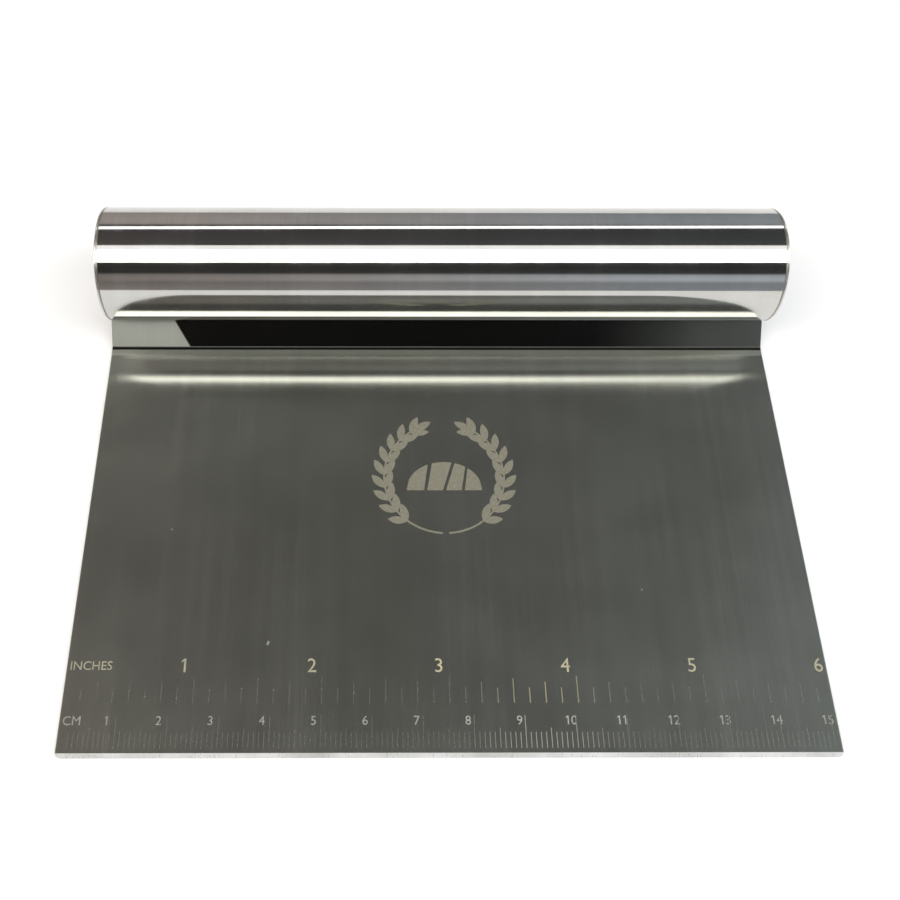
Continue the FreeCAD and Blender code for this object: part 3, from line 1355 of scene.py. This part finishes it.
@dataclass(frozen=True)
class Softbox:
    """A plain rectangular light, hung at a bearing in the side view, 90 straight above."""

    name: str
    bearing_deg: float
    distance: float
    length: float
    width: float
    radiance: float
    roll_deg: float

    def build(self, target: tuple[float, float, float]) -> None:
        """Hangs the light and points it at the handle.

        The power is the radiance times pi times the light's area.

        Args:
            target: Middle of the handle.
        """
        data = bpy.data.lights.new(self.name, "AREA")
        data.shape = "RECTANGLE"
        data.size = self.length
        data.size_y = self.width
        data.energy = self.radiance * math.pi * self.length * self.width
        light = bpy.data.objects.new(self.name, data)
        bearing = math.radians(self.bearing_deg)
        away = (0.0, self.distance * math.cos(bearing), self.distance * math.sin(bearing))
        light.location = tuple(np.add(target, away))
        facing = Euler((bearing - math.pi / 2, 0, 0)).to_matrix()
        roll = Euler((0, 0, math.radians(self.roll_deg))).to_matrix()
        light.rotation_euler = (facing @ roll).to_euler()
        light.visible_camera = False
        bpy.context.scene.collection.objects.link(light)
        log.info("light %s at %.0f degrees", self.name, self.bearing_deg)


# The light that a ramp's value of 1 stands for.
FULL_LIGHT = 2.0


@dataclass(frozen=True)
class Room:
    """The studio's walls and ceiling, as bands of light by bearing in the side view.

    The bearing of a direction is its angle from the handle's back over the top to the
    front.  The middle of the room is dark above, so that the steel shows clean stripes;
    the far left and right are bright, which lights the brushed blade from both sides.
    Each of the bands is a bearing, its light at the left and its light at the right;
    each of the sides is a bearing and its light.  The edges say how far left and right
    a direction points where one light has turned into the next, by its share of X.
    """

    bands: tuple[tuple[float, float, float], ...]
    sides: tuple[tuple[float, float], ...]
    cool: str
    warm: str
    middle_edges: tuple[float, float] = (-0.25, 0.3)
    side_edges: tuple[float, float] = (0.42, 0.75)

    def ramp(self, tree: Tree, bearing: Socket,
             bands: list[tuple[float, float]]) -> Socket:
        """Blends from one bearing's light to the next; a value of 1 stands for FULL_LIGHT.

        Args:
            tree: The world's node tree.
            bearing: Bearing of the direction looked along, in radians.
            bands: A bearing in degrees and the light there, in order.

        Returns:
            The light as a grey colour.
        """
        share = add(tree, "MapRange", {0: bearing, 1: -math.pi, 2: math.pi})
        ramp = add(tree, "ValToRGB", {0: share.outputs[0]})
        stops = ramp.color_ramp.elements
        while len(stops) < len(bands):
            stops.new(1.0)
        for stop, (angle, value) in zip(stops, bands):
            stop.position = (angle + 180) / 360
            stop.color = (value / FULL_LIGHT, value / FULL_LIGHT, value / FULL_LIGHT, 1)
        return ramp.outputs[0]

    def build(self) -> None:
        """Makes the world."""
        world = bpy.data.worlds.new("plain_room")
        world.use_nodes = True
        tree = world.node_tree
        tree.nodes.clear()
        place = add(tree, "TexCoord", {})
        parts = add(tree, "SeparateXYZ", {0: place.outputs["Generated"]})
        bearing = add(tree, "Math", {0: parts.outputs[2], 1: parts.outputs[1]}, operation="ARCTAN2")
        turned = bearing.outputs[0]
        left, right = self.middle_edges
        rightness = add(tree, "MapRange", {0: parts.outputs[0], 1: left, 2: right}).outputs[0]
        middle = add(tree, "Mix", {
            0: rightness,
            6: self.ramp(tree, turned, [(angle, left) for angle, left, _ in self.bands]),
            7: self.ramp(tree, turned, [(angle, right) for angle, _, right in self.bands]),
        }, data_type="RGBA")
        side = add(tree, "Math", {0: parts.outputs[0]}, operation="ABSOLUTE")
        aside = add(tree, "MapRange", {
            0: side.outputs[0],
            1: self.side_edges[0],
            2: self.side_edges[1],
        }, interpolation_type="SMOOTHSTEP")
        wide = add(tree, "Mix", {
            0: aside.outputs[0],
            6: middle.outputs[2],
            7: self.ramp(tree, turned, self.sides),
        }, data_type="RGBA")
        tint = add(tree, "Mix", {
            0: rightness,
            6: linear(self.warm),
            7: linear(self.cool),
        }, data_type="RGBA")
        mixed = add(tree, "Mix", {
            0: 1.0,
            6: wide.outputs[2],
            7: tint.outputs[2],
        }, data_type="RGBA", blend_type="MULTIPLY")
        back = add(tree, "Background", {"Color": mixed.outputs[2], "Strength": FULL_LIGHT})
        add(tree, "OutputWorld", {0: back.outputs[0]})
        bpy.context.scene.world = world


def lay_floor(level: float, reach: float = 4.0) -> None:
    """Lays the pale floor: a wide matt sheet with a faint mottle.

    Args:
        level: Its height, in metres.
        reach: How far it goes from the middle to each side, in metres.
    """
    material, tree = new_material("pale_matt_board")
    mottle = pattern(tree, (60.0, 60.0, 60.0))
    colour = add(tree, "Mix", {
        0: mottle,
        6: linear("DCDCDA"),
        7: linear("E0E0DE"),
    }, data_type="RGBA")
    shader = add(tree, "BsdfPrincipled", {"Base Color": colour.outputs[2], "Roughness": 0.8})
    add(tree, "OutputMaterial", {0: shader.outputs[0]})
    mesh = bpy.data.meshes.new("floor")
    signs = ((-1, -1), (1, -1), (1, 1), (-1, 1))
    corners = [(x * reach, y * reach, level) for x, y in signs]
    mesh.from_pydata(corners, [], [(0, 1, 2, 3)])
    mesh.materials.append(material)
    floor = bpy.data.objects.new("floor", mesh)
    bpy.context.scene.collection.objects.link(floor)


@dataclass(frozen=True)
class Viewpoint:
    """Where the camera stands and how it looks."""

    eye: tuple[float, float, float]
    turn_deg: tuple[float, float, float]
    lens_mm: float
    shift: tuple[float, float]
    sensor_mm: float = 36.0
    nearest: float = 0.01

    def build(self) -> None:
        """Makes the camera and gives it to the scene."""
        data = bpy.data.cameras.new("camera")
        data.lens = self.lens_mm
        data.sensor_width = self.sensor_mm
        data.shift_x, data.shift_y = self.shift
        data.clip_start = self.nearest
        camera = bpy.data.objects.new("camera", data)
        camera.location = self.eye
        camera.rotation_euler = Euler([math.radians(angle) for angle in self.turn_deg])
        bpy.context.scene.collection.objects.link(camera)
        bpy.context.scene.camera = camera


# ---- the whole --------------------------------------------------------------------

def main() -> None:
    """Builds the scraper, the studio and the camera."""
    logging.basicConfig(level=logging.INFO, format="%(name)s %(message)s")
    cad_box = [list(corner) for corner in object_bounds()]
    blade_low, blade_high = (np.array(corner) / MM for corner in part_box("blade"))
    tube_low, tube_high = (np.array(corner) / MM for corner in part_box("handle_tube"))
    bead_high = np.array(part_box("handle_weld")[1]) / MM
    axis_y, axis_z = (tube_low + tube_high)[1:] / 2
    radius = (tube_high - tube_low)[2] / 2

    blade = Blade(blade_high[0], blade_low[1], axis_y, axis_z, radius)
    weld = WeldMetal().build()
    blade.build(BrushedSheet(blade.bend_y).build(), GroundEdge().build())
    SeatBead(blade, bead_high[0]).build(weld)
    handle = Handle(tube_high[0], axis_y, axis_z, radius)
    handle.build(PolishedTube().build(), SpunCap(axis_y, axis_z).build(), weld)

    face = Face(blade_low[0], blade_low[1], blade.thickness)
    gold = WornEtch("gold_toned_etch", "B5AC84", strongest_x=19.0, spread=9.0, faintest=0.12)
    gold_figures = WornEtch("gold_toned_figures", "C6BF9C", strongest_x=10.0, spread=60.0, faintest=0.7)
    grey = WornEtch("frosted_etch", "A6A598", strongest_x=19.0, spread=9.0, faintest=0.12)
    grey_figures = WornEtch("frosted_figures", "B4B3A9", strongest_x=19.0, spread=30.0, faintest=0.55)
    motif_ink = WornEtch("frosted_motif", "8C8875", strongest_x=0.0, spread=80.0, faintest=0.75)
    gold_ink, gold_figure_ink = gold.build(), gold_figures.build()
    grey_ink, grey_figure_ink = grey.build(), grey_figures.build()
    Scale(
        Unit.INCH, zero=0.3, base=10.3, lengths={1: 3.0, 2: 4.1, 4: 4.8, 8: 5.3}, tick_width=0.16,
        figure_height=2.8, figure_base=16.4, first_figure=23.6, figure_pitch=25.44,
        label_x=0.6, label_height=1.75, label_base=16.9,
    ).build(face, "inch", gold_ink, gold_figure_ink)
    Scale(
        Unit.CENTIMETRE, zero=1.1, base=1.7, lengths={1: 3.0, 5: 3.8, 10: 6.2}, tick_width=0.14,
        figure_height=1.75, figure_base=6.1, first_figure=9.3, figure_pitch=10.09,
        label_x=0.6, label_height=1.75, label_base=6.1,
    ).build(face, "centimetre", grey_ink, grey_figure_ink)
    Motif(x=0.6, y=59.3).build(face, motif_ink.build())
    etch_nicks(face, grey_figure_ink)

    target = (0.0, axis_y * MM, axis_z * MM)
    for name, bearing, length, width, radiance, roll in (
        ("overhead_front", 110.2, 7.0, 1.08, 5.2, 2.5),
        ("overhead_rear", 93.3, 7.0, 0.42, 1.45, 2.5),
        ("rear_strip", 47.5, 6.3, 0.26, 3.0, 7.0),
    ):
        Softbox(name, bearing, 2.5, length, width, radiance, roll).build(target)
    bands = (
        (-180, 0.45, 0.45),
        (-90, 0.5, 0.5),
        (0, 0.38, 0.33),
        (30, 0.46, 0.4),
        (38, 0.42, 0.36),
        (42, 0.07, 0.07),
        (52, 0.035, 0.03),
        (84, 0.06, 0.05),
        (120, 0.03, 0.03),
        (126.5, 0.005, 0.005),
        (134, 0.005, 0.005),
        (144, 0.015, 0.03),
        (148, 0.24, 0.56),
        (157, 0.27, 0.68),
        (164, 0.2, 0.34),
        (176, 0.28, 0.36),
    )
    sides = (
        (-180, 0.8),
        (0, 0.85),
        (50, 1.0),
        (58.5, 1.05),
        (61.5, 0.55),
        (64.5, 1.15),
        (78, 1.5),
        (90, 1.6),
        (180, 0.9),
    )
    Room(bands, sides, cool="EAF4FF", warm="FFF0E9").build()
    lay_floor(cad_box[0][2])
    bpy.context.scene.view_settings.view_transform = "Standard"
    Viewpoint((-0.01418, -0.09201, 0.20113), (27.41, -0.34, -0.15), 40.06, (0.0741, -0.023)).build()


if __name__ == "__main__":
    main()
